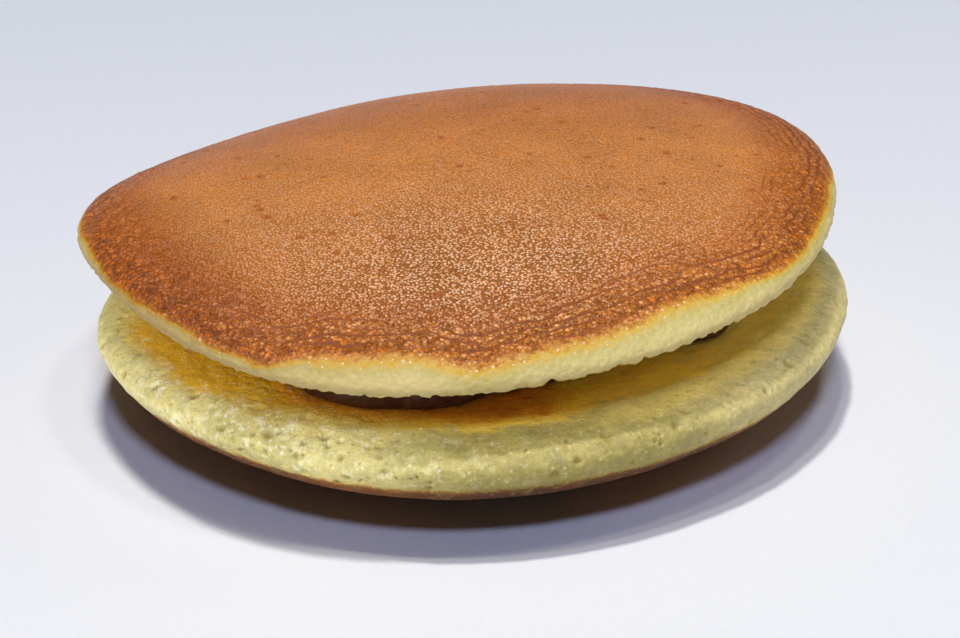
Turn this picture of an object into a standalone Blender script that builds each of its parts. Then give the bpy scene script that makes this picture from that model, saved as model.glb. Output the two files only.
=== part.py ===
"""Dorayaki: two griddle pancakes pressed round a filling of sweet bean paste.

Each pancake starts as a turned profile about +Z. Its points then move out to an uneven
outline and up or down where the pancake drapes, so neither is a true disc. The filling
runs right through between them and follows both inner faces.

Metres, +Z up. The origin is on the table under the middle of the bottom pancake, and the
side where the gap shows the filling faces -Y.
"""

import math

import bmesh
import bpy

MM = 0.001
GAP = 0.3 * MM  # clearance between the filling and each pancake
MERGE = 0.0001 * MM
ROUND_STEPS = 64  # steps round a pancake
FILLING_STEPS = 48  # steps round the filling
FACE_RINGS = 11  # rings of points across a broad face
EDGE_RINGS = 5  # rings of points across a rounded edge

# Bottom pancake, heights above the table.
BOTTOM_RADIUS = 46.0 * MM
FOOT_RADIUS = 12.0 * MM  # flat spot that it rests on
WIDEST_HEIGHT = 9.6 * MM
CRUST_EDGE_INSET = 2.3 * MM  # browned lower corner, in from the widest line
CRUST_EDGE_DROP = 3.25 * MM  # and below it
SHOULDER_RADIUS = 38.5 * MM  # where the rounded rim meets the cupped inner face
SHOULDER_HEIGHT = 13.0 * MM
CUP_DEPTH = 1.4 * MM  # how far the inner face dips from the shoulder to its middle
# Uneven outline: order, cosine and sine parts, as shares of the radius.
BOTTOM_OUTLINE = (
    (2, -0.0044, -0.0084),
    (3, -0.0037, 0.0059),
    (4, 0.0056, 0.0021),
    (5, -0.0045, -0.0024),
)
# Rise and fall of the rim: order, cosine and sine parts.
BOTTOM_DRAPE = (
    (1, 0.11 * MM, 0.08 * MM),
    (2, 0.19 * MM, -0.19 * MM),
    (3, 0.13 * MM, -0.14 * MM),
)
BOTTOM_DRAPE_POWER = 2.0

# Top pancake, a shallow dome that hangs over the filling at the front and back.
TOP_RADIUS = 47.13 * MM
TOP_CENTRE = (-0.94 * MM, 3.19 * MM)
RIM_HEIGHT = 20.54 * MM
DOME_RISE = 7.23 * MM
DOME_POWER = 2.59
DOME_ROUNDNESS = 1.79
LIP_DEPTH = 2.80 * MM
LIP_POWER = 8.0
LIP_ROUNDNESS = 2.0
TOP_OUTLINE = (
    (2, -0.0145, 0.0116),
    (3, -0.0017, 0.0001),
    (4, -0.0010, -0.0005),
    (5, -0.0109, 0.0061),
)
TOP_DRAPE = (
    (1, 0.78 * MM, -1.05 * MM),
    (2, 2.00 * MM, 0.91 * MM),
    (3, -0.42 * MM, -0.41 * MM),
)
TOP_DRAPE_POWER = 3.0

# Bean paste.
FILLING_RADIUS = 32.8 * MM
FILLING_OUTLINE = (
    (1, 0.004, -0.012),
    (2, -0.012, 0.010),
    (3, 0.010, 0.012),
    (5, 0.004, -0.010),
)
FILLING_EDGE_BULGE = 1.1 * MM  # how far the edge swells out between the pancakes

CRUST_BROWN = (0.42, 0.17, 0.06, 1.0)
SPONGE_YELLOW = (0.62, 0.50, 0.22, 1.0)
PASTE_BROWN = (0.035, 0.012, 0.008, 1.0)


def clear_scene():
    for item in list(bpy.data.objects):
        bpy.data.objects.remove(item, do_unlink=True)


def material(name, colour, roughness):
    made = bpy.data.materials.new(name)
    made.use_nodes = True
    shader = made.node_tree.nodes["Principled BSDF"]
    shader.inputs["Base Color"].default_value = colour
    shader.inputs["Roughness"].default_value = roughness
    shader.inputs["Metallic"].default_value = 0.0
    return made


def wave(parts, angle):
    """Sum of (order, cosine part, sine part) terms at an angle round the food."""
    return sum(c * math.cos(k * angle) + s * math.sin(k * angle) for k, c, s in parts)


def bezier(start, pull_out, pull_in, end, steps):
    """Points of a cubic curve in the profile's plane, without its start point."""
    points = []
    for i in range(1, steps + 1):
        t = i / steps
        weights = ((1 - t) ** 3, 3 * (1 - t) ** 2 * t, 3 * (1 - t) * t**2, t**3)
        corners = (start, pull_out, pull_in, end)
        points.append(tuple(sum(w * p[axis] for w, p in zip(weights, corners)) for axis in (0, 1)))
    return points


def spaced(steps):
    """Shares from 0 to 1, closer together towards 1, for rings that bunch at a rim."""
    return [math.sin(0.5 * math.pi * i / steps) for i in range(steps + 1)]


def inner_face_height(share):
    """Height of the bottom pancake's cupped inner face at a share of the shoulder radius."""
    return SHOULDER_HEIGHT - CUP_DEPTH * (1 - share**2)


def underside_drop(share):
    """How far the top pancake's underside lies below its rim line at a share of its radius."""
    return LIP_DEPTH * max(0.0, 1 - share**LIP_POWER) ** (1 / LIP_ROUNDNESS)


def dome_rise(share):
    """How far the top pancake's dome stands above its rim line at a share of its radius."""
    return DOME_RISE * max(0.0, 1 - share**DOME_POWER) ** (1 / DOME_ROUNDNESS)


def bottom_profile():
    """(radius, height) points of the bottom pancake, up round its rim from the axis to the axis."""
    foot = (FOOT_RADIUS, 0.0)
    crust_edge = (BOTTOM_RADIUS - CRUST_EDGE_INSET, WIDEST_HEIGHT - CRUST_EDGE_DROP)
    widest = (BOTTOM_RADIUS, WIDEST_HEIGHT + 0.6 * MM)
    shoulder = (SHOULDER_RADIUS, SHOULDER_HEIGHT)
    leaving_foot = (FOOT_RADIUS + 14.0 * MM, 0.3 * MM)
    nearing_edge = (crust_edge[0] - 6.6 * MM, crust_edge[1] - 2.6 * MM)
    leaving_edge = (crust_edge[0] + 1.3 * MM, crust_edge[1] + 1.5 * MM)
    nearing_widest = (BOTTOM_RADIUS, WIDEST_HEIGHT - 0.3 * MM)
    leaving_widest = (BOTTOM_RADIUS, WIDEST_HEIGHT + 2.3 * MM)
    nearing_shoulder = (SHOULDER_RADIUS + 4.0 * MM, SHOULDER_HEIGHT + 0.29 * MM)
    points = [(0.0, 0.0), foot]
    points += bezier(foot, leaving_foot, nearing_edge, crust_edge, FACE_RINGS - 3)
    points += bezier(crust_edge, leaving_edge, nearing_widest, widest, EDGE_RINGS - 1)
    points += bezier(widest, leaving_widest, nearing_shoulder, shoulder, EDGE_RINGS)
    inward = range(FACE_RINGS - 5, -1, -1)
    shares = [i / (FACE_RINGS - 4) for i in inward]
    points += [(SHOULDER_RADIUS * share, inner_face_height(share)) for share in shares]
    return points


def top_profile():
    """(radius, height) points of the top pancake, up round its rim from the axis to the axis."""
    outward = spaced(FACE_RINGS)
    inward = spaced(FACE_RINGS + EDGE_RINGS)[-2::-1]
    points = [(TOP_RADIUS * share, RIM_HEIGHT - underside_drop(share)) for share in outward]
    points += [(TOP_RADIUS * share, RIM_HEIGHT + dome_rise(share)) for share in inward]
    return points


def bottom_place(radius, angle, height):
    """Where a point of the bottom pancake's turned profile ends up."""
    reach = radius * (1 + wave(BOTTOM_OUTLINE, angle))
    past_foot = max(0.0, (radius - FOOT_RADIUS) / (BOTTOM_RADIUS - FOOT_RADIUS))
    lift = wave(BOTTOM_DRAPE, angle) * past_foot**BOTTOM_DRAPE_POWER
    return (reach * math.cos(angle), reach * math.sin(angle), height + lift)


def top_place(radius, angle, height):
    """Where a point of the top pancake's turned profile ends up."""
    reach = radius * (1 + wave(TOP_OUTLINE, angle))
    lift = wave(TOP_DRAPE, angle) * (radius / TOP_RADIUS) ** TOP_DRAPE_POWER
    x = TOP_CENTRE[0] + reach * math.cos(angle)
    y = TOP_CENTRE[1] + reach * math.sin(angle)
    return (x, y, height + lift)


def floor_of_gap(x, y):
    """Height of the bottom pancake's inner face above a point of the table."""
    angle = math.atan2(y, x)
    radius = math.hypot(x, y) / (1 + wave(BOTTOM_OUTLINE, angle))
    return bottom_place(radius, angle, inner_face_height(radius / SHOULDER_RADIUS))[2]


def roof_of_gap(x, y):
    """Height of the top pancake's underside above a point of the table."""
    angle = math.atan2(y - TOP_CENTRE[1], x - TOP_CENTRE[0])
    reach = math.hypot(x - TOP_CENTRE[0], y - TOP_CENTRE[1])
    radius = reach / (1 + wave(TOP_OUTLINE, angle))
    return top_place(radius, angle, RIM_HEIGHT - underside_drop(radius / TOP_RADIUS))[2]


def filling_profile():
    """(share of radius, share of gap height) points of the filling, from the axis to the axis."""
    face = [i / (FACE_RINGS - 4) for i in range(FACE_RINGS - 3)]
    points = [(share, 0.0) for share in face]
    for i in range(1, EDGE_RINGS):
        level = i / EDGE_RINGS
        swell = math.sin(math.pi * level) * FILLING_EDGE_BULGE / FILLING_RADIUS
        points.append((1 + swell, level))
    points += [(share, 1.0) for share in reversed(face)]
    return points


def filling_place(share, angle, level):
    """Where a point of the filling's turned profile ends up, between the two inner faces."""
    reach = share * FILLING_RADIUS * (1 + wave(FILLING_OUTLINE, angle))
    x = reach * math.cos(angle)
    y = reach * math.sin(angle)
    low = floor_of_gap(x, y) + GAP
    high = roof_of_gap(x, y) - GAP
    return (x, y, low + level * (high - low))


def spun_solid(name, profile, steps, place, finish):
    """Turns a profile about Z, moves each point with place(), and makes a closed object of it."""
    shape = bmesh.new()
    points = [shape.verts.new((radius, 0.0, height)) for radius, height in profile]
    lines = [shape.edges.new(pair) for pair in zip(points, points[1:])]
    bmesh.ops.spin(
        shape,
        geom=points + lines,
        cent=(0.0, 0.0, 0.0),
        axis=(0.0, 0.0, 1.0),
        angle=2 * math.pi,
        steps=steps,
        use_merge=True,
    )
    bmesh.ops.remove_doubles(shape, verts=shape.verts, dist=MERGE)
    for point in shape.verts:
        radius = math.hypot(point.co.x, point.co.y)
        angle = math.atan2(point.co.y, point.co.x)
        point.co = place(radius, angle, point.co.z)
    bmesh.ops.recalc_face_normals(shape, faces=shape.faces)
    mesh = bpy.data.meshes.new(name)
    shape.to_mesh(mesh)
    shape.free()
    mesh.materials.append(finish)
    mesh.shade_smooth()
    solid = bpy.data.objects.new(name, mesh)
    bpy.context.scene.collection.objects.link(solid)
    return solid


def main():
    clear_scene()
    crust = material("crust", CRUST_BROWN, 0.5)
    sponge = material("sponge", SPONGE_YELLOW, 0.7)
    paste = material("paste", PASTE_BROWN, 0.35)
    spun_solid("bottom_pancake", bottom_profile(), ROUND_STEPS, bottom_place, sponge)
    spun_solid("bean_paste", filling_profile(), FILLING_STEPS, filling_place, paste)
    spun_solid("top_pancake", top_profile(), ROUND_STEPS, top_place, crust)


main()
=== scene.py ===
"""Looks of the dorayaki: two griddled pancakes and the bean paste between them.

Each piece is a fine mesh of rings that follows its CAD node, with the relief that shows:
tide lines and pits in the crust, a crumbly pale lip, pores in the sponge, lumps in the
paste. Functions of place also write how browned and stained each point is, and where
painted shade, painted light and painted highlights lie, and the node materials turn that
into colour, grain and gloss.
"""
import math

import bpy
import numpy as np
from mathutils import Matrix, Vector


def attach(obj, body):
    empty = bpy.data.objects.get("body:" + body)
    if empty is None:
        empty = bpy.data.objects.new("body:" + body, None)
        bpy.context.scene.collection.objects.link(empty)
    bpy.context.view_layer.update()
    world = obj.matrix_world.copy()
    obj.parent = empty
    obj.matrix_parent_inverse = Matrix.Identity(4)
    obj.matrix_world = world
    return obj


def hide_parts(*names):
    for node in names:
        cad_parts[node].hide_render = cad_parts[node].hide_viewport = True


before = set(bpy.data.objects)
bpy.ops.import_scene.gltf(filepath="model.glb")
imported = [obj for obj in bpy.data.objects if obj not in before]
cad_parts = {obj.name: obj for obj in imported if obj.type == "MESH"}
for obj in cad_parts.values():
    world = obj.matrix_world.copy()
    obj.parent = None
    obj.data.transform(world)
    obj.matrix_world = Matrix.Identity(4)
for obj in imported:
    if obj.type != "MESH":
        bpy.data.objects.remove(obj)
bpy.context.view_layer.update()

MM = 0.001

# Camera: where it looks, from how high, how far, and how much it is turned.
AIM = Vector((0.6 * MM, -17.9 * MM, 16.0 * MM))
CAMERA_ELEVATION = math.radians(23.82)
CAMERA_ROLL = math.radians(-2.97)
CAMERA_DISTANCE = 350 * MM
SENSOR_WIDTH = 36.0
FOCAL_LENGTH = 112.4
NEAREST = 10 * MM  # the camera sees nothing closer than this

# The sizes below are in millimetres and are the CAD nodes' own. An uneven outline is
# (order, cosine part, sine part) terms as shares of the radius, and a drape is the same kind
# of terms for the rise and fall of the rim.

# Bottom pancake: points of its turned profile are (radius, height).
BOTTOM_RADIUS = 46.0
FOOT_RADIUS = 12.0
CRUST_EDGE = (43.7, 6.35)
WIDEST = (46.0, 10.2)
SHOULDER = (38.5, 13.0)
CUP_DEPTH = 1.4
BOTTOM_OUTLINE = (
    (2, -0.0044, -0.0084),
    (3, -0.0037, 0.0059),
    (4, 0.0056, 0.0021),
    (5, -0.0045, -0.0024),
)
BOTTOM_DRAPE = ((1, 0.11, 0.08), (2, 0.19, -0.19), (3, 0.13, -0.14))
BOTTOM_DRAPE_POWER = 2

# Top pancake.
TOP_RADIUS = 47.13
TOP_CENTRE = (-0.94, 3.19)
RIM_HEIGHT = 20.54
DOME_RISE = 7.23
DOME_POWER = 2.59
DOME_ROUNDNESS = 1.79
LIP_DEPTH = 2.80
LIP_POWER = 8.0
LIP_ROUNDNESS = 2.0
TOP_OUTLINE = (
    (2, -0.0145, 0.0116),
    (3, -0.0017, 0.0001),
    (4, -0.0010, -0.0005),
    (5, -0.0109, 0.0061),
)
TOP_DRAPE = ((1, 0.78, -1.05), (2, 2.00, 0.91), (3, -0.42, -0.41))
TOP_DRAPE_POWER = 3

# Bean paste.
PASTE_RADIUS = 32.8
PASTE_OUTLINE = ((1, 0.004, -0.012), (2, -0.012, 0.010), (3, 0.010, 0.012), (5, 0.004, -0.010))

# Steps along the fine profile curves, before rings are spaced along them.
FOOT_STEPS = 60
CURVE_STEPS = 200
DOME_STEPS = 600

NOISE_GAIN = 1.4  # brings gradient noise to about -1 to 1


# ---------------------------------------------------------------- numbers from place


def wave(parts, angle):
    """Sum of (order, cosine part, sine part) terms at angles round the food."""
    return sum(c * np.cos(k * angle) + s * np.sin(k * angle) for k, c, s in parts)


def smooth(low, high, x):
    """0 below low, 1 above high and an even slope between."""
    t = np.clip((x - low) / (high - low), 0.0, 1.0)
    return t * t * (3 - 2 * t)


def lobe(angle, middle, width):
    """A bump of height 1 round an angle in degrees, width degrees to either side."""
    off = (np.degrees(angle) - middle + 180) % 360 - 180
    return np.exp(-0.5 * (off / width) ** 2)


def round_food(angle, start, lobes=(), steps=()):
    """A number that changes round the food, from lobes and steps added to start.

    A lobe is (height, middle, width) and a step is (rise, from, to), in degrees from -180
    to 180.
    """
    total = np.full(len(angle), float(start))
    for height, middle, width in lobes:
        total += height * lobe(angle, middle, width)
    for rise, low, high in steps:
        total += rise * smooth(low, high, np.degrees(angle))
    return total


def corner_gradient(cell, seed):
    """A fixed pseudo-random direction for each lattice corner, by mixing its whole numbers."""
    x, y, z = (cell[:, i].astype(np.int64) for i in range(3))
    mixed = x * 73856093 ^ y * 19349663 ^ z * 83492791 ^ (seed * 2654435761)
    parts = []
    for step in (1, 2, 3):
        mixed = (mixed * 1103515245 + 12345 * step) & 0x7FFFFFFF
        mixed ^= mixed >> 15
        parts.append((mixed % 2001) / 1000.0 - 1.0)
    return np.stack(parts, 1)


def noise(points, size, seed):
    """Smooth gradient noise of about -1 to 1, whose lumps are about size across."""
    at = points / size
    cell = np.floor(at).astype(np.int64)
    part = at - cell
    ease = part**3 * (part * (part * 6 - 15) + 10)
    total = np.zeros(len(points))
    for dx in (0, 1):
        for dy in (0, 1):
            for dz in (0, 1):
                corner = np.array((dx, dy, dz))
                weight = np.prod(np.where(corner == 1, ease, 1 - ease), axis=1)
                slope = corner_gradient(cell + corner, seed)
                total += weight * np.sum(slope * (part - corner), axis=1)
    return total * NOISE_GAIN


def rough(points, *layers):
    """Sum of noise layers of (height, size, seed)."""
    return sum(height * noise(points, size, seed) for height, size, seed in layers)


def dents(points, centres, radii):
    """How deep each point lies in the nearest of many round dents, from 0 to 1."""
    depth = np.zeros(len(points))
    for centre, radius in zip(centres, radii):
        near = np.flatnonzero(np.abs(points - centre).max(axis=1) < radius)
        away = np.linalg.norm(points[near] - centre, axis=1) / radius
        depth[near] = np.maximum(depth[near], np.clip(1 - away**2, 0, 1) ** 1.5)
    return depth


# ---------------------------------------------------------------- forms, in millimetres


def bezier(start, pull_out, pull_in, end):
    """Points of a cubic curve, without its start point."""
    t = np.linspace(0, 1, CURVE_STEPS)[1:, None]
    corners = [np.array(p, float) for p in (start, pull_out, pull_in, end)]
    weights = ((1 - t) ** 3, 3 * (1 - t) ** 2 * t, 3 * (1 - t) * t**2, t**3)
    return sum(w * p for w, p in zip(weights, corners))


def cupped(share):
    """Height of the bottom pancake's inner face at a share of the shoulder's radius."""
    return SHOULDER[1] - CUP_DEPTH * (1 - share**2)


def underside_drop(share):
    """How far the top pancake's underside lies below its rim at a share of its radius."""
    return LIP_DEPTH * np.clip(1 - share**LIP_POWER, 0, 1) ** (1 / LIP_ROUNDNESS)


def dome_rise(share):
    """How far the top pancake's dome stands above its rim at a share of its radius."""
    return DOME_RISE * np.clip(1 - share**DOME_POWER, 0, 1) ** (1 / DOME_ROUNDNESS)


def bottom_profile():
    """Fine (radius, height) curve from the axis below, up round the rim, to the axis above."""
    edge_radius, edge_height = CRUST_EDGE
    leaving_foot = (FOOT_RADIUS + 14, 0.3)
    nearing_edge = (edge_radius - 6.6, edge_height - 2.6)
    leaving_edge = (edge_radius + 1.3, edge_height + 1.5)
    nearing_widest = (WIDEST[0], WIDEST[1] - 0.9)
    leaving_widest = (WIDEST[0], WIDEST[1] + 1.7)
    nearing_shoulder = (SHOULDER[0] + 4, SHOULDER[1] + 0.29)
    foot = np.stack([np.linspace(0, FOOT_RADIUS, FOOT_STEPS), np.zeros(FOOT_STEPS)], 1)
    under = bezier((FOOT_RADIUS, 0), leaving_foot, nearing_edge, CRUST_EDGE)
    side = bezier(CRUST_EDGE, leaving_edge, nearing_widest, WIDEST)
    over = bezier(WIDEST, leaving_widest, nearing_shoulder, SHOULDER)
    share = np.linspace(1, 0, CURVE_STEPS)[1:]
    inner = np.stack([SHOULDER[0] * share, cupped(share)], 1)
    return np.concatenate([foot, under, side, over, inner])


def top_profile():
    """Fine (radius, height) curve from the axis below, up round the rim, to the axis above."""
    share = np.sin(np.linspace(0, math.pi / 2, DOME_STEPS))
    below = np.stack([TOP_RADIUS * share, RIM_HEIGHT - underside_drop(share)], 1)
    above = np.stack([TOP_RADIUS * share, RIM_HEIGHT + dome_rise(share)], 1)
    return np.concatenate([below, above[-2::-1]])


def length_to(profile, index):
    """Length along a profile from its start to one of its points."""
    return np.linalg.norm(np.diff(profile[: index + 1], axis=0), axis=1).sum()


def bottom_place(radius, angle, height):
    """Where points of the bottom pancake's turned profile end up."""
    reach = radius * (1 + wave(BOTTOM_OUTLINE, angle))
    past_foot = np.clip((radius - FOOT_RADIUS) / (BOTTOM_RADIUS - FOOT_RADIUS), 0, None)
    lift = wave(BOTTOM_DRAPE, angle) * past_foot**BOTTOM_DRAPE_POWER
    return np.stack([reach * np.cos(angle), reach * np.sin(angle), height + lift], -1)


def top_place(radius, angle, height):
    """Where points of the top pancake's turned profile end up."""
    reach = radius * (1 + wave(TOP_OUTLINE, angle))
    lift = wave(TOP_DRAPE, angle) * (radius / TOP_RADIUS) ** TOP_DRAPE_POWER
    x = TOP_CENTRE[0] + reach * np.cos(angle)
    y = TOP_CENTRE[1] + reach * np.sin(angle)
    return np.stack([x, y, height + lift], -1)


def gap_floor(x, y):
    """Height of the bottom pancake's inner face at places over the table."""
    angle = np.arctan2(y, x)
    radius = np.hypot(x, y) / (1 + wave(BOTTOM_OUTLINE, angle))
    return bottom_place(radius, angle, cupped(radius / SHOULDER[0]))[..., 2]


def gap_roof(x, y):
    """Height of the top pancake's underside at places over the table."""
    angle = np.arctan2(y - TOP_CENTRE[1], x - TOP_CENTRE[0])
    radius = np.hypot(x - TOP_CENTRE[0], y - TOP_CENTRE[1]) / (1 + wave(TOP_OUTLINE, angle))
    return top_place(radius, angle, RIM_HEIGHT - underside_drop(radius / TOP_RADIUS))[..., 2]


# ---------------------------------------------------------------- fine ring meshes

SIDEWAYS = 1.05  # points lie this much further apart along a ring than the rings do
FEWEST_POINTS = 6  # on any ring but the two poles

# Centre and radius of the two discs of a bake map, for the faces above and below the seam.
LARGE_DISC = ((0.43, 0.57), 0.415)
SMALL_DISC = ((0.845, 0.155), 0.145)


class Rings:
    """Points on rings along a profile, their triangles, and where each lies on the profile."""

    def __init__(self, profile, spacing):
        """spacing(radius, arc) is the wanted distance between points, arc running from 0."""
        steps = np.linalg.norm(np.diff(profile, axis=0), axis=1)
        run = np.concatenate([[0], np.cumsum(steps)])
        self.length = run[-1]
        arcs = [0.0]
        while arcs[-1] < self.length:
            here = np.interp(arcs[-1], run, profile[:, 0])
            arcs.append(arcs[-1] + spacing(here, arcs[-1]))
        arcs = np.array(arcs) * self.length / arcs[-1]
        radii = np.interp(arcs, run, profile[:, 0])
        heights = np.interp(arcs, run, profile[:, 1])
        wanted = [2 * math.pi * r / (SIDEWAYS * spacing(r, a)) for r, a in zip(radii, arcs)]
        counts = [1] + [max(FEWEST_POINTS, round(n)) for n in wanted[1:-1]] + [1]
        firsts = np.concatenate([[0], np.cumsum(counts)[:-1]])
        turns = [np.arange(n) / n for n in counts]
        self.angle = (2 * np.concatenate(turns) + 1) % 2 * math.pi - math.pi
        self.arc = np.repeat(arcs, counts)
        self.radius = np.repeat(radii, counts)
        self.height = np.repeat(heights, counts)
        joins = [zip_rings(a, m, b, n) for a, m, b, n in zip(firsts, counts, firsts[1:], counts[1:])]
        self.faces = np.concatenate(joins)
        self.face_arc = self.arc[self.faces].mean(axis=1)


def zip_rings(first_a, count_a, first_b, count_b):
    """Triangles between two closed rings of points that both start at angle 0."""
    if count_a == 1:
        step = np.arange(count_b)
        return np.stack([np.full(count_b, first_a), first_b + (step + 1) % count_b, first_b + step], 1)
    if count_b == 1:
        step = np.arange(count_a)
        return np.stack([first_a + step, first_a + (step + 1) % count_a, np.full(count_a, first_b)], 1)
    keys = np.concatenate([(np.arange(count_a) + 0.5) / count_a, (np.arange(count_b) + 0.5) / count_b])
    order = np.argsort(keys, kind="stable")
    on_a = np.concatenate([np.ones(count_a, bool), np.zeros(count_b, bool)])[order]
    done_a = np.cumsum(on_a) - on_a
    done_b = np.cumsum(~on_a) - ~on_a
    a = first_a + done_a % count_a
    b = first_b + done_b % count_b
    next_a = first_a + (done_a + 1) % count_a
    next_b = first_b + (done_b + 1) % count_b
    return np.where(on_a[:, None], np.stack([a, next_a, b], 1), np.stack([a, next_b, b], 1))


def normals_of(points, faces):
    """Unit vertex normals, weighted by the area of the faces round each vertex."""
    a, b, c = (points[faces[:, i]] for i in range(3))
    across = np.cross(b - a, c - a)
    total = np.zeros_like(points)
    for i in range(3):
        for axis in range(3):
            total[:, axis] += np.bincount(faces[:, i], across[:, axis], minlength=len(points))
    return total / np.linalg.norm(total, axis=1, keepdims=True)


def bake_map(rings, seam_arc):
    """Corner places on two flat discs: the faces above the seam large, those below it small."""
    spin = np.stack([np.cos(rings.angle), np.sin(rings.angle)], 1)
    above = (rings.length - rings.arc)[:, None] / (rings.length - seam_arc)
    below = rings.arc[:, None] / seam_arc
    large = np.array(LARGE_DISC[0]) + LARGE_DISC[1] * above * spin
    small = np.array(SMALL_DISC[0]) + SMALL_DISC[1] * below * spin
    is_above = (rings.face_arc > seam_arc)[:, None, None]
    return np.where(is_above, large[rings.faces], small[rings.faces]).reshape(-1, 2)


def make_piece(name, points, rings, seam_arc, fields, material):
    """A shaded mesh object from points in millimetres, with its float fields and bake map."""
    mesh = bpy.data.meshes.new(name)
    mesh.from_pydata((points * MM).tolist(), [], rings.faces.tolist())
    for label, values in fields.items():
        attribute = mesh.attributes.new(label, "FLOAT", "POINT")
        attribute.data.foreach_set("value", values.astype(np.float32))
    layer = mesh.uv_layers.new(name="OFBake")
    layer.uv.foreach_set("vector", bake_map(rings, seam_arc).astype(np.float32).ravel())
    mesh.shade_smooth()
    mesh.materials.append(material)
    piece = bpy.data.objects.new(name, mesh)
    bpy.context.scene.collection.objects.link(piece)
    return piece


# ---------------------------------------------------------------- top pancake

BROWNING_SPAN = 16.0  # millimetres over which the browning field runs from 0 to 1
BROWNING_LEAD = 4.0  # of which this much lies before the crust's edge

# How far up the dome from the widest line the crust starts, round the food, in millimetres.
CRUST_START = 0.9
CRUST_LOBES = ((0.6, -166, 10), (0.6, -134, 8), (0.9, -98, 5), (-1.1, -89, 3.5), (1.2, -58, 7))
CRUST_STEPS = ((2.9, -119, -110), (-1.8, -50, -36), (-1.1, -12, 4))

# How many times narrower than its full width the gold line is, round the food.
GOLD_NARROW = 4.2
GOLD_STEPS = ((-3.2, -122, -110), (1.6, -50, -36), (1.6, 120, 170))

# Tide lines: millimetres between them, and how far in from the crust's edge they go.
TIDE_SPACING = 1.28
TIDE_REACH = 10.0
TIDE_LOBES = ((5.0, -22, 26), (4.5, -90, 30))

# Pits: how many small ones are scattered, and the (radius, angle, size) of the larger ones.
PIT_COUNT = 150
SEEN_PITS = (
    (26.6, -150, 0.8),
    (26.8, -134, 0.75),
    (22.3, -111, 0.9),
    (34.1, -95, 0.8),
    (24.0, -128, 0.5),
)
PIT_SEED = 5

# Millimetres between the top pancake's points: underneath, further than LIP_BELOW down the
# profile from its widest line, then where detail shows, and on the dome inside DOME_FLAT,
# where the gaps widen a little with each millimetre towards the middle.
HIDDEN_POINTS = 1.1
LIP_BELOW = 4.8
FINE_POINTS = 0.30
DOME_POINTS = 0.34
DOME_FLAT = 30
DOME_WIDENING = 0.012

TOP_SINK = 0.12  # the relief is sunk this far, so that it stays inside the CAD node
TOP_SEAM = 2.0  # the bake map's seam lies this far below the widest line
PAINTED_SHEEN_MIDDLE = (1, -30)  # where the crust's painted highlights are strongest
PAINTED_SHEEN_SIZE = (30, 23)


def browning(past_edge):
    """Distance past the crust's edge, in millimetres, as the 0 to 1 field that the ramps read."""
    return np.clip((past_edge + BROWNING_LEAD) / BROWNING_SPAN, 0, 1)


def crust_line(angle, points):
    """How far up the dome from the widest line the crust starts, with its small waves."""
    line = round_food(angle, CRUST_START, CRUST_LOBES, CRUST_STEPS)
    return line + rough(points, (0.30, 5.0, 11), (0.35, 1.9, 12))


def tide_field(inward, angle, points):
    """Broken concentric creases near the rim: (turns of the ripple, strength 0 to 1)."""
    turns = inward / TIDE_SPACING + rough(points, (0.50, 8.0, 21), (0.25, 3.0, 22), (0.17, 1.1, 25))
    reach = round_food(angle, TIDE_REACH, TIDE_LOBES) + 2.0 * noise(points, 12.0, 23)
    patchy = 0.6 + 0.4 * smooth(-0.4, 0.3, noise(points, 6.0, 24))
    along = np.column_stack([np.floor(turns), 5.0 * np.cos(angle), 5.0 * np.sin(angle)])
    patchy *= 0.30 + 0.70 * smooth(-0.3, 0.4, noise(along + 0.37, 1.0, 26))
    patchy *= 1 - 0.4 * lobe(angle, -170, 25)
    strength = smooth(0.2, 1.4, inward) * (1 - smooth(0.2 * reach, reach, inward)) * patchy
    return turns, strength


def pit_places(random):
    """Turned-profile radius, angle and size of the crust's small pits."""
    reach = TOP_RADIUS * np.sqrt(random.uniform(0.0, 0.78, PIT_COUNT))
    turn = random.uniform(-math.pi, math.pi, PIT_COUNT)
    size = 0.3 + 0.40 * random.uniform(0.0, 1.0, PIT_COUNT) ** 2
    seen = np.array(SEEN_PITS)
    reach = np.concatenate([reach, seen[:, 0]])
    turn = np.concatenate([turn, np.radians(seen[:, 1])])
    return reach, turn, np.concatenate([size, seen[:, 2]])


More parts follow.
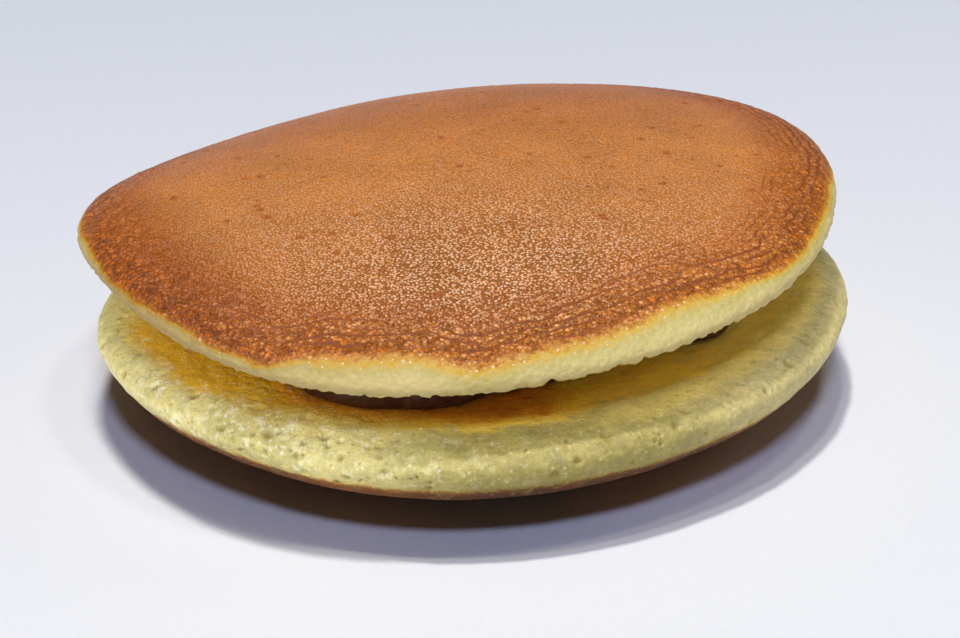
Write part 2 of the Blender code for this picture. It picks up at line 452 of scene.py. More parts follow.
def build_top(material):
    """Top pancake: a domed crust with tide lines and pits, over a pale, ragged lip."""
    profile = top_profile()
    lip_arc = length_to(profile, np.argmax(profile[:, 0]))

    def spacing(radius, arc):
        if arc < lip_arc - LIP_BELOW:
            return HIDDEN_POINTS
        if arc > lip_arc and radius < DOME_FLAT:
            return DOME_POINTS + DOME_WIDENING * (DOME_FLAT - radius)
        return FINE_POINTS

    rings = Rings(profile, spacing)
    points = top_place(rings.radius, rings.angle, rings.height)
    normal = normals_of(points, rings.faces)
    climb = rings.arc - lip_arc
    inward = climb - crust_line(rings.angle, points)
    gold_narrow = round_food(rings.angle, GOLD_NARROW, steps=GOLD_STEPS)
    inward = np.where(inward < 0, inward * gold_narrow, inward)
    on_crust = smooth(-0.3, 1.2, inward)
    near_rim = 1 - smooth(2.0, 11.0, inward)
    turns, tide = tide_field(inward, rings.angle, points)

    pit_reach, pit_turn, pit_size = pit_places(np.random.default_rng(PIT_SEED))
    pit_height = RIM_HEIGHT + dome_rise(pit_reach / TOP_RADIUS)
    pits = dents(points, top_place(pit_reach, pit_turn, pit_height), pit_size)

    relief = rough(points, (0.10, 13.0, 31), (0.035, 5.0, 32))
    relief -= 0.12 * tide * smooth(0.3, 1.0, -np.cos(2 * math.pi * turns))
    relief += on_crust * ((0.012 + 0.09 * near_rim) * noise(points, 1.2, 33) - 0.07 * pits)
    relief += (1 - on_crust) * rough(points, (0.10, 2.6, 34), (0.055, 1.1, 35))
    ragged = smooth(-4.6, -3.2, climb) * (1 - smooth(-1.2, 0.4, climb))
    bitten = np.clip(noise(points, 1.5, 36) + 0.02, 0, 0.5)
    relief += ragged * (0.26 * noise(points, 0.9, 37) - 1.15 * bitten)
    points = points + normal * (relief - TOP_SINK)[:, None]

    # Painted sheen: a spot on the front of the dome where the painted highlights are strongest.
    off_painted_sheen = (points[:, :2] - PAINTED_SHEEN_MIDDLE) / PAINTED_SHEEN_SIZE
    # Painted shade: the crust is darker towards the back, at the back left, and near the rim at the
    # front left.
    at_back = 0.8 * smooth(2, 34, points[:, 1])
    at_left = lobe(rings.angle, -142, 22) * (1 - smooth(6, 18, inward))
    back_left = 0.55 * lobe(rings.angle, 150, 22) * smooth(18, 30, rings.radius)
    fields = {
        "browned": browning(inward),
        "pitted": pits,
        "tide_turns": turns,
        "tide_strength": tide,
        "painted_sheen": np.exp(-(off_painted_sheen**2).sum(axis=1)),
        "painted_shade": at_left + at_back + back_left * (1 - at_back),
    }
    piece = make_piece("top_pancake_baked", points, rings, lip_arc - TOP_SEAM, fields, material)
    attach(piece, "root")
    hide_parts("top_pancake")
    return piece


# ---------------------------------------------------------------- bottom pancake

# Where the browned underside starts, in millimetres in from the profile's lower corner: below 0
# is up the side. Its colour changes this many times faster than at the top pancake's edge.
UNDER_START = -2.05
UNDER_LOBES = ((1.5, -15, 30),)
UNDER_SPEED = 2.2

PORE_COUNT = 420  # before they are thinned out away from the front left
PORE_BAND = (0.8, 9)  # millimetres up the profile from its lower corner
PORE_SEED = 9

# Millimetres between the bottom pancake's points: underneath, on the side and the shelf, and
# under the filling, inside INNER_RADIUS.
UNDER_POINTS = 0.8
SIDE_POINTS = 0.31
INNER_POINTS = 1.4
INNER_RADIUS = 29
EDGE_BELOW = 1.5  # how far in from the profile's lower corner the side's fine points go on

BOTTOM_SINK = 0.14  # the relief is sunk this far, but not where the pancake rests
BOTTOM_SEAM = 0.6  # the bake map's seam lies this far in from the profile's lower corner
STAIN_START = 5  # millimetres up the profile from its lower corner


def pores(points, profile_arc, edge_arc, random):
    """Small open pores on the rim: their depth field, thickest at the front left."""
    low, high = PORE_BAND
    on_rim = np.flatnonzero((profile_arc > edge_arc + low) & (profile_arc < edge_arc + high))
    chosen = on_rim[random.integers(0, len(on_rim), PORE_COUNT)]
    turn = np.degrees(np.arctan2(points[chosen, 1], points[chosen, 0]))
    keep = random.uniform(0, 1, len(chosen)) < 0.35 + 0.65 * np.exp(-(((turn + 125) / 35) ** 2))
    chosen = chosen[keep]
    sizes = 0.32 + 0.65 * random.uniform(0, 1, len(chosen)) ** 2.5
    return dents(points, points[chosen], sizes)


def stains(rings, points, edge_arc):
    """Where the paste has soaked into the shelf: (golden to dark syrup field, honey field)."""
    turn = np.degrees(rings.angle)
    uneven = rough(points, (1.5, 5.0, 47), (0.9, 1.6, 48))
    above_side = rings.arc > edge_arc + STAIN_START
    golden_edge = rings.radius + uneven - 1.5 * lobe(rings.angle, -140, 20)
    golden = 1 - smooth(36.5, 44.0, golden_edge)
    golden *= 0.30 + 0.12 * lobe(rings.angle, -150, 22)
    at_front = smooth(-138, -122, turn) * (1 - smooth(-52, -36, turn))
    syrup = at_front * (1 - smooth(33.0, 43.0, rings.radius + 1.3 * uneven))
    syrup += 0.6 * lobe(rings.angle, -125, 7) * (1 - smooth(34.5, 39.5, rings.radius + uneven))
    syrup *= 0.66 - 0.48 * smooth(-84, -66, turn)
    honey = 1 - smooth(40.8, 43.5, rings.radius + 0.6 * uneven)
    honey *= np.clip(1.7 * lobe(rings.angle, -152, 14), 0, 1)
    return (golden + syrup) * above_side, honey * above_side


def build_bottom(material):
    """Bottom pancake: a porous side, a stained shelf under the filling and a browned underside."""
    profile = bottom_profile()
    corner = np.argmin(np.hypot(profile[:, 0] - CRUST_EDGE[0], profile[:, 1] - CRUST_EDGE[1]))
    edge_arc = length_to(profile, corner)

    def spacing(radius, arc):
        if arc < edge_arc - EDGE_BELOW:
            return UNDER_POINTS
        if arc > edge_arc and radius < INNER_RADIUS:
            return INNER_POINTS
        return SIDE_POINTS

    rings = Rings(profile, spacing)
    points = bottom_place(rings.radius, rings.angle, rings.height)
    normal = normals_of(points, rings.faces)
    line = round_food(rings.angle, UNDER_START, UNDER_LOBES)
    line += rough(points, (0.20, 2.2, 41), (0.16, 0.9, 54))
    inward = UNDER_SPEED * (edge_arc - rings.arc - line)
    on_sponge = 1 - smooth(-0.3, 0.9, inward)

    holes = pores(points, rings.arc, edge_arc, np.random.default_rng(PORE_SEED))
    # Wet front left: rougher relief here, and in the material more gloss, with painted wet highlights
    # and painted glints.
    wet = lobe(rings.angle, -136, 26)
    crumb = rough(points, (0.10, 3.0, 44), (0.07, 1.2, 45)) - 0.50 * holes
    crumb += wet * rough(points, (0.16, 1.9, 49), (0.06, 0.9, 50))
    relief = rough(points, (0.12, 9.0, 42), (0.02, 0.9, 43)) + on_sponge * crumb
    relief += (1 - on_sponge) * 0.05 * noise(points, 4.0, 46)
    touching = 1 - smooth(FOOT_RADIUS - 1.0, FOOT_RADIUS + 6.0, rings.radius)
    relief *= np.where(rings.arc < edge_arc, 1 - touching, 1.0)
    points = points + normal * (relief - BOTTOM_SINK * (1 - touching))[:, None]

    stained, honey = stains(rings, points, edge_arc)
    at_right = round_food(rings.angle, 0, steps=((1, -77, -62), (-1, 90, 150)))
    fields = {
        "browned": browning(inward),
        "pitted": holes,
        "stained": stained,
        "honey": honey,
        "wet_gloss_and_glint": wet,
        # The last four fields place painted light and painted shade: lighter at the left, darker in
        # the front middle and on the right, lighter stains in the lip's shade.
        "shelf": (1 - smooth(40.5, 44.0, rings.radius)) * at_right,
        "tucked": 1 - smooth(36.0, 40.0, rings.radius),
        "painted_light_share": round_food(rings.angle, 1, ((-0.35, -127, 6),), ((-1, -116, -88), (1, 90, 150))),
        "right_painted_share": round_food(rings.angle, 0, steps=((1, -66, -44), (-1, 90, 150))),
    }
    piece = make_piece("bottom_pancake_baked", points, rings, edge_arc - BOTTOM_SEAM, fields, material)
    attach(piece, "root")
    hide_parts("bottom_pancake")
    return piece


# ---------------------------------------------------------------- bean paste

PASTE_FLAT = 0.97  # share of the radius where its rounded edge starts
PASTE_SWELL = 0.04  # share of the radius by which the edge swells past that
LAID_OUT = 6.0  # height of the paste in millimetres while its rings are spaced
CLEARANCE = 0.02  # millimetres to the smooth face of either pancake

# The paste's lumps and spread grow from nothing at the first radius to full at the second. Its
# points lie PASTE_HIDDEN_POINTS apart inside the first, and PASTE_POINTS apart past it.
PASTE_INNER = 27
PASTE_OUTER = 32
PASTE_HIDDEN_POINTS = 1.5
PASTE_POINTS = 0.34

# How far the paste spreads past its outline, round the food, in millimetres.
SPREAD_LOBES = ((2.8, -116, 13), (3.0, -34, 4))
SPREAD_STEPS = ((-3.0, -96, -86), (3.0, -46, -40))


def paste_profile():
    """(share of radius, level in the gap) curve from the axis below to the axis above."""
    turn = np.linspace(-math.pi / 2, math.pi / 2, CURVE_STEPS)
    below = np.stack([np.linspace(0, PASTE_FLAT, CURVE_STEPS), np.zeros(CURVE_STEPS)], 1)
    edge = np.stack([PASTE_FLAT + PASTE_SWELL * np.cos(turn), 0.5 + 0.5 * np.sin(turn)], 1)
    return np.concatenate([below, edge[1:-1], below[::-1] + (0, 1)])


def build_paste(material):
    """Bean paste: a lumpy layer that fills the gap and follows both inner faces."""

    def spacing(radius, arc):
        return PASTE_POINTS if radius > PASTE_INNER else PASTE_HIDDEN_POINTS

    rings = Rings(paste_profile() * (PASTE_RADIUS, LAID_OUT), spacing)
    reach = rings.radius * (1 + wave(PASTE_OUTLINE, rings.angle))
    outward = np.stack([np.cos(rings.angle), np.sin(rings.angle)], 1)
    flat = reach[:, None] * outward
    at = np.column_stack([flat, rings.height])
    lumps = rough(at, (0.45, 5.5, 51), (0.35, 2.4, 52), (0.2, 1.1, 53))
    near_edge = smooth(PASTE_INNER, PASTE_OUTER, rings.radius)
    spread = round_food(rings.angle, 0, SPREAD_LOBES, SPREAD_STEPS)
    flat = flat + outward * (near_edge * (lumps + spread))[:, None]
    low = gap_floor(*flat.T) + CLEARANCE
    high = gap_roof(*flat.T) - CLEARANCE
    points = np.column_stack([flat, low + rings.height / LAID_OUT * (high - low)])
    piece = make_piece("bean_paste_filling", points, rings, rings.length / 2, {}, material)
    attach(piece, "root")
    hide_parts("bean_paste")
    return piece


# ---------------------------------------------------------------- materials


class Nodes:
    """Short hands for building a material's node tree."""

    def __init__(self, name):
        self.material = bpy.data.materials.new(name)
        self.material.use_nodes = True
        self.tree = self.material.node_tree
        self.shader = self.tree.nodes["Principled BSDF"]
        self.place = self.tree.nodes.new("ShaderNodeTexCoord").outputs["Object"]

    def link(self, source, socket):
        self.tree.links.new(source, socket)

    def put(self, socket, value):
        """Links value to a socket if it is another socket, else sets it. Colours get an alpha."""
        if isinstance(value, bpy.types.NodeSocket):
            self.link(value, socket)
        elif isinstance(value, tuple):
            socket.default_value = (*value, 1)
        else:
            socket.default_value = value

    def field(self, name):
        """A float that make_piece wrote on the mesh."""
        node = self.tree.nodes.new("ShaderNodeAttribute")
        node.attribute_name = name
        return node.outputs["Fac"]

    def noise(self, size, detail=2.0, roughness=0.5):
        """A noise texture whose lumps are about size millimetres across."""
        node = self.tree.nodes.new("ShaderNodeTexNoise")
        node.inputs["Scale"].default_value = 1 / (size * MM)
        node.inputs["Detail"].default_value = detail
        node.inputs["Roughness"].default_value = roughness
        self.link(self.place, node.inputs["Vector"])
        return node.outputs["Fac"]

    def cells(self, size):
        """Grains about size millimetres across: (distance from a grain's middle, its own shade)."""
        node = self.tree.nodes.new("ShaderNodeTexVoronoi")
        node.inputs["Scale"].default_value = 1 / (size * MM)
        self.link(self.place, node.inputs["Vector"])
        split = self.tree.nodes.new("ShaderNodeSeparateColor")
        self.link(node.outputs["Color"], split.inputs[0])
        return node.outputs["Distance"], split.outputs[0]

    def math(self, operation, a, b=0.0):
        node = self.tree.nodes.new("ShaderNodeMath")
        node.operation = operation
        self.put(node.inputs[0], a)
        self.put(node.inputs[1], b)
        return node.outputs[0]

    def times(self, first, *others):
        """Product of values."""
        for other in others:
            first = self.math("MULTIPLY", first, other)
        return first

    def plus(self, first, *others):
        """Sum of values."""
        for other in others:
            first = self.math("ADD", first, other)
        return first

    def span(self, value, low, high, to_low=0.0, to_high=1.0):
        """Value from low to high, spread evenly over to_low to to_high and held there past them."""
        node = self.tree.nodes.new("ShaderNodeMapRange")
        for socket, number in zip(list(node.inputs)[1:5], (low, high, to_low, to_high)):
            socket.default_value = number
        self.put(node.inputs[0], value)
        return node.outputs[0]

    def vary(self, texture, low, high):
        """The middle of a noise texture's range, spread from low to high."""
        return self.span(texture, 0.3, 0.7, low, high)

    def ramp(self, value, stops):
        """Colour at a value, from (position, colour) stops."""
        node = self.tree.nodes.new("ShaderNodeValToRGB")
        stops_now = node.color_ramp.elements
        for element, (position, colour) in zip(stops_now, (stops[0], stops[-1])):
            element.position = position
            element.color = (*colour, 1)
        for position, colour in stops[1:-1]:
            stops_now.new(position).color = (*colour, 1)
        self.put(node.inputs["Fac"], value)
        return node.outputs["Color"]

    def mix(self, share, a, b, blend="MIX"):
        """Colour a, with a share of colour b."""
        node = self.tree.nodes.new("ShaderNodeMix")
        node.data_type = "RGBA"
        node.blend_type = blend
        self.put(node.inputs[0], share)
        self.put(node.inputs[6], a)
        self.put(node.inputs[7], b)
        return node.outputs[2]

    def tinted(self, colour, tint):
        """A colour multiplied by another colour or by a value."""
        return self.mix(1.0, colour, tint, "MULTIPLY")

    def bump(self, height, distance, strength=1.0):
        """A bump whose full height is distance millimetres."""
        node = self.tree.nodes.new("ShaderNodeBump")
        node.inputs["Distance"].default_value = distance * MM
        node.inputs["Strength"].default_value = strength
        self.put(node.inputs["Height"], height)
        return node.outputs["Normal"]

    def scatter(self, scale):
        """Sponge's light scattering, over about scale millimetres."""
        self.shader.inputs["Subsurface Radius"].default_value = (1.0, 0.6, 0.2)
        self.shader.inputs["Subsurface Scale"].default_value = scale * MM


# Top pancake, from the lip inwards, then its details.
LIP_PALE = (0.65, 0.53, 0.205)
LIP_BUTTER = (0.53, 0.44, 0.140)
GOLD = (0.62, 0.385, 0.040)
CARAMEL = (0.56, 0.23, 0.012)
RIM_BROWN = (0.47, 0.120, 0.004)
CRUST_BROWN = (0.52, 0.140, 0.012)
CRUST_MIDDLE = (0.61, 0.215, 0.042)
# Painted highlights: pale flecks on the crust's grains, finer in the middle, larger near the rim.
PAINTED_HIGHLIGHT = (1.0, 0.73, 0.50)
PAINTED_RIM_HIGHLIGHT = (1.0, 0.60, 0.22)
CREASE_RED = (0.23, 0.050, 0.002)
PIT_RED = (0.36, 0.085, 0.010)
# Painted shade, multiplied into the crust.
PAINTED_SHADE_TINT = (0.74, 0.62, 0.54)
PAINTED_GLINT = (0.98, 0.96, 0.80)  # painted glints, on both pancakes

# Bottom pancake, from the side down, then its details and stains.
PALE = (0.74, 0.60, 0.25)
BUTTER = (0.74, 0.55, 0.19)
UNDER_GOLD = (0.55, 0.31, 0.07)
UNDER_BROWN = (0.42, 0.150, 0.018)
UNDER_DARK = (0.23, 0.072, 0.010)
# Painted shade in the pores.
PAINTED_PORE_SHADE = (0.34, 0.26, 0.045)
# Painted wet highlights on the side.
PAINTED_WET_HIGHLIGHT = (1.0, 0.96, 0.60)
# Golden stain, made lighter as painted light where it lies in the lip's shade.
GOLDEN_STAIN_PAINTED_LIGHT = (0.80, 0.60, 0.13)
GOLDEN_OLIVE = (0.62, 0.47, 0.10)
HONEY = (0.95, 0.53, 0.015)
AMBER_DULL = (0.56, 0.34, 0.050)
# Amber stain, made lighter as painted light where it lies in the lip's shade.
AMBER_STAIN_PAINTED_LIGHT = (1.0, 0.68, 0.075)
SYRUP_SOAK = (0.72, 0.31, 0.022)
SYRUP_DARK = (0.62, 0.21, 0.024)

# Painted light and painted shade, as multipliers for the bottom pancake's colour: round its side, on
# its shelf and in its stains.
# Painted shade in the front middle, also a deeper yellow; painted light at the left; painted shade on
# the right.
MIDDLE_PAINTED_SHADE = (0.53, 0.54, 0.35)
LEFT_PAINTED_LIGHT = (1.18, 1.28, 1.22)
RIGHT_PAINTED_SHADE = (0.84, 0.87, 0.85)
# Painted light on the shaded shelf.
SHELF_PAINTED_LIGHT = (1.30, 1.24, 0.72)
SOAK_PAINTED_SHADE = (0.78, 0.80, 0.90)
SOAK_PAINTED_LIGHT = (1.25, 1.12, 1.0)

PASTE_DARK = (0.040, 0.013, 0.008)
PASTE_BROWN = (0.075, 0.025, 0.014)
PASTE_SKIN = (0.15, 0.055, 0.030)
TABLE_NEAR = (0.89, 0.89, 0.86)
# Painted shade: the table is darker far away.
TABLE_FAR_PAINTED_SHADE = (0.67, 0.69, 0.71)

PANCAKE_SPECULAR = 0.36
PASTE_SPECULAR = 0.35


def at_distance(past_edge):
    """Ramp position of a distance past the crust's edge in millimetres."""
    return (past_edge + BROWNING_LEAD) / BROWNING_SPAN


def ramp_of_distance(n, browned, stops):
    """Colours at distances past the crust's edge in millimetres."""
    return n.ramp(browned, [(max(0.0, at_distance(past_edge)), colour) for past_edge, colour in stops])


def crust_and_lip():
    """Top pancake: pale lip that turns gold, then a fine-grained, softly glossy brown crust."""
    n = Nodes("griddled_top")
    grain = n.noise(0.26, 1.5, 0.6)
    lumps = n.noise(0.7, 2.0, 0.6)
    clump = n.noise(1.1, 2.0, 0.6)
    broad = n.noise(9.0, 3.0, 0.55)
    grit, grit_shade = n.cells(0.36)
    bead, bead_shade = n.cells(0.60)
    crumb = n.cells(0.8)[0]
    painted_sheen = n.field("painted_sheen")
    ragged = n.plus(n.vary(lumps, -0.025, 0.025), n.vary(grain, -0.012, 0.012))
    browned = n.plus(n.field("browned"), ragged)
    crusted = n.span(browned, at_distance(-0.6), at_distance(1.0))
    near_rim = n.span(browned, at_distance(2.0), at_distance(10.0), 1.0, 0.0)

    # Tide lines.
    turns = n.plus(n.field("tide_turns"), n.vary(lumps, -0.12, 0.12))
    trough = n.span(n.math("COSINE", n.times(turns, 2 * math.pi)), -0.40, -0.92)
    crease = n.span(n.times(trough, n.field("tide_strength")), 0.04, 0.52)

    # Colour by distance from the crust's edge, with grain.
    stops = (
        (-3.4, LIP_PALE),
        (-2.1, LIP_BUTTER),
        (-1.0, GOLD),
        (-0.1, CARAMEL),
        (0.7, RIM_BROWN),
        (6.5, CRUST_BROWN),
        (12.0, CRUST_MIDDLE),
    )
    base = ramp_of_distance(n, browned, stops)
    # Where the painted sheen is strong, the grain gets the high contrast of painted glints.
    tone = n.mix(painted_sheen, n.span(grain, 0.38, 0.62, 0.70, 1.18), n.span(grit, 0.62, 0.15, 0.44, 1.68))
    rim_tone = n.times(n.span(bead, 0.60, 0.15, 0.66, 1.36), n.span(clump, 0.38, 0.62, 0.74, 1.30))
    tone = n.times(n.mix(near_rim, tone, rim_tone), n.vary(broad, 0.88, 1.10))
    toned = n.tinted(base, n.mix(crusted, n.vary(grain, 0.95, 1.04), tone))

    # Painted highlights: pale flecks, fine ones over the crust, larger and clumped near the rim, and
    # few painted glints on the gold.
    highlight_fleck = n.times(n.span(grit, 0.52, 0.15), n.span(grit_shade, 0.10, 0.75, 0.2, 1.0))
    rim_highlight_fleck = n.times(n.span(bead, 0.48, 0.15), n.span(bead_shade, 0.25, 0.65))
    rim_highlight_fleck = n.math("MAXIMUM", rim_highlight_fleck, n.times(highlight_fleck, 0.75))
    rim_highlight_fleck = n.times(
        rim_highlight_fleck,
        n.span(clump, 0.40, 0.58, 0.25, 1.0),
        n.span(painted_sheen, 0, 1, 0.35, 1.3),
        n.span(browned, at_distance(0.3), at_distance(3.5), 0.4, 1.0),
    )
    highlight_fleck = n.mix(near_rim, n.times(highlight_fleck, n.span(painted_sheen, 0, 1, 0.12, 1.1)), rim_highlight_fleck)
    toned = n.mix(n.times(highlight_fleck, crusted), toned, n.mix(near_rim, PAINTED_HIGHLIGHT, PAINTED_RIM_HIGHLIGHT))
    # Painted shade towards the back and at the left.
    toned = n.mix(n.field("painted_shade"), toned, n.tinted(toned, PAINTED_SHADE_TINT))
    # Painted glints on the golden edge.
    on_gold = n.span(browned, at_distance(-2.2), at_distance(-1.0))
    painted_gold_glint = n.times(
        n.span(bead, 0.32, 0.12),
        n.span(bead_shade, 0.35, 0.65),
        n.times(on_gold, n.span(painted_sheen, 0, 0.6, 0.1, 0.5)),
        n.span(crusted, 0, 1, 1, 0),
    )
    toned = n.mix(painted_gold_glint, toned, PAINTED_GLINT)

    creased = n.mix(n.times(crease, 0.95), toned, CREASE_RED)
    pitted = n.mix(n.span(n.field("pitted"), 0.0, 0.5, 0.0, 0.85), creased, PIT_RED)
    n.link(pitted, n.shader.inputs["Base Color"])

    # Gloss and bump.
    rough_now = n.mix(crusted, n.vary(lumps, 0.5, 0.65), n.vary(lumps, 0.26, 0.38))
    n.link(n.plus(rough_now, n.times(crease, 0.3)), n.shader.inputs["Roughness"])
    n.shader.inputs["Specular IOR Level"].default_value = PANCAKE_SPECULAR
    n.link(n.span(crusted, 0, 1, 0.30, 0.04), n.shader.inputs["Subsurface Weight"])
    n.scatter(1.0)
    lump_height = n.times(lumps, n.span(near_rim, 0, 1, 0.3, 1.1))
    crust_height = n.plus(n.span(grit, 0.0, 0.7, 0.65, 0.35), lump_height)
    crust_height = n.mix(n.times(crease, 0.6), crust_height, n.span(near_rim, 0, 1, 0.5, 0.85))
    sponge_height = n.plus(n.span(grain, 0.0, 1.0, 1.1, 1.2), n.times(crumb, -0.22))
    height = n.mix(crusted, sponge_height, crust_height)
    n.link(n.bump(height, 0.60), n.shader.inputs["Normal"])
    return n.material


def sponge_and_base():
    """Bottom pancake: moist porous sponge, soaked gold and brown near the paste, browned below."""
    n = Nodes("griddled_bottom")
    grain = n.noise(0.32, 2.0, 0.6)
    lumps = n.noise(0.9, 3.0, 0.6)
    crumb, crumb_shade = n.cells(0.65)
    wet_gloss_and_glint = n.field("wet_gloss_and_glint")
    right_painted_share = n.field("right_painted_share")
    painted_light_share = n.field("painted_light_share")
    ragged = n.plus(n.vary(lumps, -0.04, 0.04), n.vary(grain, -0.04, 0.04))
    browned = n.plus(n.field("browned"), ragged)
    on_side = n.span(browned, at_distance(-1.2), at_distance(-2.0))

    # Colour by distance from the browned edge, with grain, and painted light and painted shade round
    # the food.
    stops = ((-1.8, PALE), (-0.8, BUTTER), (-0.2, UNDER_GOLD), (0.4, UNDER_BROWN), (1.6, UNDER_DARK))
    tone = n.times(
        n.span(grain, 0.35, 0.65, 0.92, 1.06),
        n.span(lumps, 0.35, 0.65, 0.90, 1.07),
        n.span(crumb_shade, 0.0, 1.0, 0.93, 1.06),
        n.vary(n.noise(7.0, 2.0, 0.5), 0.93, 1.06),
        n.span(n.noise(2.6, 2.0), 0.35, 0.65, 0.88, 1.06),
    )
    # Painted light at the left, painted shade in the front middle and on the right.
    tint = n.mix(right_painted_share, n.mix(painted_light_share, MIDDLE_PAINTED_SHADE, LEFT_PAINTED_LIGHT), RIGHT_PAINTED_SHADE)
    # Painted light on the shelf at the right, in the lip's shade.
    tint = n.mix(n.field("shelf"), tint, SHELF_PAINTED_LIGHT)
    toned = n.tinted(n.tinted(ramp_of_distance(n, browned, stops), tone), tint)

    # Painted shade in the pores, darker olive.
    holes = n.span(n.cells(1.3)[0], 0.10, 0.26, 0.6, 0.0)
    holed = n.math("MAXIMUM", holes, n.field("pitted"))
    pore_shaded = n.mix(n.times(holed, 0.85), toned, PAINTED_PORE_SHADE)

    # What the paste has soaked, with its own colours at the left, and painted light and painted shade
    # on the stains.
    patches = (n.vary(lumps, -0.08, 0.08), n.vary(n.noise(3.2, 2.0), -0.10, 0.08))
    soaked = n.plus(n.field("stained"), *patches)
    left_stops = ((0.30, GOLDEN_STAIN_PAINTED_LIGHT), (0.50, AMBER_DULL), (0.78, SYRUP_SOAK), (1.0, SYRUP_DARK))
    right_stops = ((0.25, GOLDEN_OLIVE), (0.50, AMBER_STAIN_PAINTED_LIGHT), (0.80, SYRUP_SOAK), (1.0, SYRUP_DARK))
    # Painted light on stains deep under the lip and on the right, painted shade on the others.
    painted_lit = n.mix(n.math("MAXIMUM", right_painted_share, n.field("tucked")), SOAK_PAINTED_SHADE, SOAK_PAINTED_LIGHT)
    soak_right = n.tinted(n.ramp(soaked, right_stops), painted_lit)
    soak = n.mix(painted_light_share, soak_right, n.ramp(soaked, left_stops))
    stained = n.mix(n.span(soaked, 0.02, 0.42), pore_shaded, soak)
    stained = n.mix(n.times(n.field("honey"), n.vary(lumps, 0.75, 1.0)), stained, HONEY)

    # Painted wet highlights and painted glints on the side.
    wet_highlight = n.times(
        n.span(n.noise(1.5, 3.0, 0.65), 0.54, 0.62),
        wet_gloss_and_glint,
        n.times(on_side, n.span(soaked, 0.30, 0.10, 0.0, 0.7)),
    )
    painted_glint = n.times(
        n.span(crumb, 0.36, 0.20),
        n.span(crumb_shade, 0.55, 0.85),
        n.span(wet_gloss_and_glint, 0.0, 1.0, 0.15, 0.7),
        on_side,
    )
    wet_highlighted = n.mix(wet_highlight, stained, PAINTED_WET_HIGHLIGHT)
    n.link(n.mix(painted_glint, wet_highlighted, PAINTED_GLINT), n.shader.inputs["Base Color"])

    # Gloss and bump.
    wet = n.span(wet_gloss_and_glint, 0.0, 1.0, 0.0, 0.26)
    n.link(n.math("SUBTRACT", n.vary(lumps, 0.46, 0.58), wet), n.shader.inputs["Roughness"])
    n.shader.inputs["Specular IOR Level"].default_value = PANCAKE_SPECULAR
    n.shader.inputs["Subsurface Weight"].default_value = 0.25
    n.scatter(0.9)
    height = n.plus(n.times(grain, 0.3), n.times(lumps, 0.8))
    height = n.math("SUBTRACT", height, n.times(holed, 0.3))
    n.link(n.bump(height, 0.24), n.shader.inputs["Normal"])
    return n.material


def paste():
    """Dark, moist, lumpy bean paste with lighter skins."""
    n = Nodes("paste_dark")
    stops = ((0.0, PASTE_DARK), (0.6, PASTE_BROWN), (1.0, PASTE_SKIN))
    n.link(n.ramp(n.vary(n.noise(2.2, 3.0, 0.6), 0.0, 1.0), stops), n.shader.inputs["Base Color"])
    n.link(n.vary(n.noise(0.6, 2.0), 0.28, 0.5), n.shader.inputs["Roughness"])
    n.shader.inputs["Specular IOR Level"].default_value = PASTE_SPECULAR
    n.link(n.bump(n.noise(0.7, 3.0, 0.6), 0.25, 0.7), n.shader.inputs["Normal"])
    return n.material


def table_top():
    """Plain pale surface with a faint paper tooth, and painted shade that makes it a little darker far
    away.
    """
    n = Nodes("table_pale")
    tooth = n.noise(0.7, 2.0)
    split = n.tree.nodes.new("ShaderNodeSeparateXYZ")
    n.link(n.place, split.inputs[0])
    colour = n.mix(n.span(split.outputs["Y"], -0.06, 0.16), TABLE_NEAR, TABLE_FAR_PAINTED_SHADE)
    n.link(n.tinted(colour, n.vary(tooth, 0.985, 1.01)), n.shader.inputs["Base Color"])
    n.link(n.vary(tooth, 0.6, 0.75), n.shader.inputs["Roughness"])
    n.link(n.bump(tooth, 0.03, 0.4), n.shader.inputs["Normal"])
    return n.material


# ---------------------------------------------------------------- stage, lights, camera

TABLE_HALF = 3.0  # metres

WARM = (1.0, 0.95, 0.85)
CREAM = (1.0, 0.96, 0.88)
# Suns: name, the direction (x, y, 1) that it comes from, strength, width in degrees and colour.
ROOM_SUNS = (
    ("light_over", (-0.03, 0.14), 1.75, 5.0, (1.0, 1.0, 1.0)),
    ("light_over_front", (0.05, 0.00), 0.45, 5.0, (1.0, 0.99, 0.95)),
    ("light_over_right", (0.30, -0.05), 0.28, 6.0, WARM),
    ("light_front", (0.07, -0.72), 1.15, 9.0, (0.55, 0.62, 1.0)),
    ("light_right", (1.50, 0.40), 0.10, 15.0, WARM),
)
# Fills that light only the food, so that its shadow on the table stays dark.
FOOD_SUNS = (
    ("light_fill_left", (-1.20, -0.90), 1.00, 15.0, CREAM),
    ("light_fill_right", (1.00, -0.70), 0.35, 15.0, CREAM),
)
# Fills that light only the bottom pancake and the paste.
BASE_SUNS = (
    ("light_base_left", (-2.20, -0.60), 0.65, 15.0, (1.0, 0.98, 0.92)),
    ("light_base_low", (0.60, -4.00), 0.50, 15.0, CREAM),
)
SKY_COLOUR = (0.93, 0.96, 1.0, 1.0)
SKY_STRENGTH = 0.03


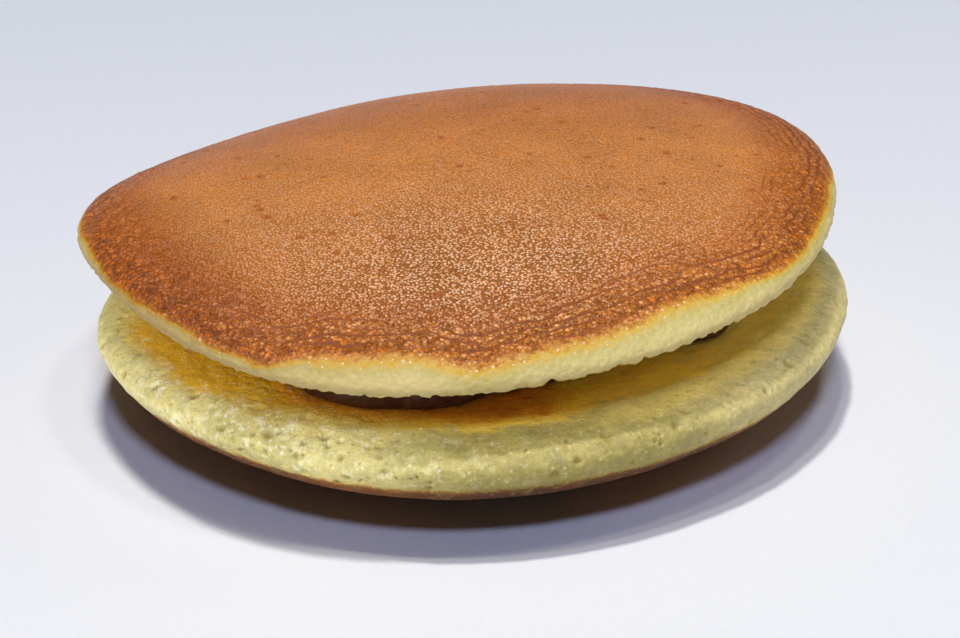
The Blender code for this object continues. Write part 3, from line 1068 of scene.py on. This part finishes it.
def make_floor():
    mesh = bpy.data.meshes.new("table")
    corners = [(-1, -1), (1, -1), (1, 1), (-1, 1)]
    mesh.from_pydata([(x * TABLE_HALF, y * TABLE_HALF, 0) for x, y in corners], [], [(0, 1, 2, 3)])
    mesh.materials.append(table_top())
    table = bpy.data.objects.new("table", mesh)
    bpy.context.scene.collection.objects.link(table)


def make_sun(name, toward, strength, width, colour, only=None):
    """A distant soft light from the direction (x, y, 1), for all things or only a collection."""
    light = bpy.data.lights.new(name, "SUN")
    light.energy = strength
    light.angle = math.radians(width)
    light.color = colour
    lamp = bpy.data.objects.new(name, light)
    lamp.rotation_mode = "QUATERNION"
    lamp.rotation_quaternion = Vector((*toward, 1.0)).to_track_quat("Z", "Y")
    bpy.context.scene.collection.objects.link(lamp)
    if only:
        lamp.light_linking.receiver_collection = only


def gathered(name, pieces):
    """A collection of pieces, for lights that light nothing else."""
    group = bpy.data.collections.new(name)
    for piece in pieces:
        group.objects.link(piece)
    return group


def make_lights(bottom, filling, top):
    food = gathered("food", (bottom, filling, top))
    base = gathered("base_and_filling", (bottom, filling))
    for suns, only in ((ROOM_SUNS, None), (FOOD_SUNS, food), (BASE_SUNS, base)):
        for sun in suns:
            make_sun(*sun, only)
    world = bpy.data.worlds.new("room")
    bpy.context.scene.world = world
    world.use_nodes = True
    sky = world.node_tree.nodes["Background"]
    sky.inputs["Color"].default_value = SKY_COLOUR
    sky.inputs["Strength"].default_value = SKY_STRENGTH
    bpy.context.scene.view_settings.view_transform = "Standard"


def make_camera():
    up = Vector((0, math.sin(CAMERA_ELEVATION), math.cos(CAMERA_ELEVATION)))
    back = Vector((0, -math.cos(CAMERA_ELEVATION), math.sin(CAMERA_ELEVATION)))
    turned = Matrix((Vector((1, 0, 0)), up, back)).transposed().to_4x4()
    rolled = turned @ Matrix.Rotation(CAMERA_ROLL, 4, "Z")
    data = bpy.data.cameras.new("camera")
    data.sensor_width = SENSOR_WIDTH
    data.lens = FOCAL_LENGTH
    data.clip_start = NEAREST
    camera = bpy.data.objects.new("camera", data)
    camera.matrix_world = Matrix.Translation(AIM + CAMERA_DISTANCE * back) @ rolled
    bpy.context.scene.collection.objects.link(camera)
    bpy.context.scene.camera = camera


make_camera()
make_floor()
make_lights(build_bottom(sponge_and_base()), build_paste(paste()), build_top(crust_and_lip()))
